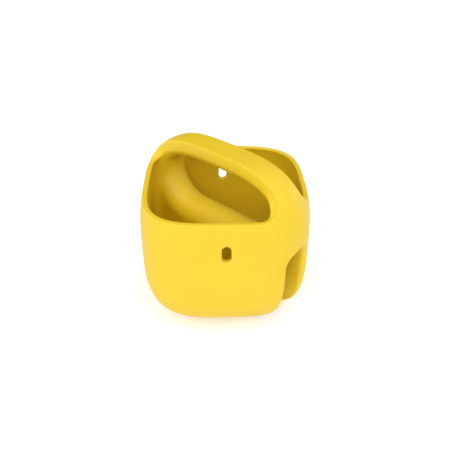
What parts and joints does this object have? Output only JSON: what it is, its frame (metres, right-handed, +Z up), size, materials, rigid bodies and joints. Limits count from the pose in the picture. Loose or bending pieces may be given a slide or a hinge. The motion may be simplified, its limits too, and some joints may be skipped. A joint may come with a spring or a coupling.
{
  "type": "silicone carry sleeve",
  "caption": "Rounded-cube silicone sleeve with two open top mouths either side of a diagonal strap, an arched channel beneath it and upright lanyard slots in front and rear.",
  "frame": {"origin": "middle of the flat base, on the surface that the sleeve stands on", "axes": "+Z up, -Y towards the front wall with the front slot, +X to the right seen from the front"},
  "size_m": [0.064, 0.064, 0.0645],
  "materials": {
    "silicone": "matt moulded silicone"
  },
  "bodies": {
    "root": {"sleeve": "silicone"}
  },
  "joints": []
}
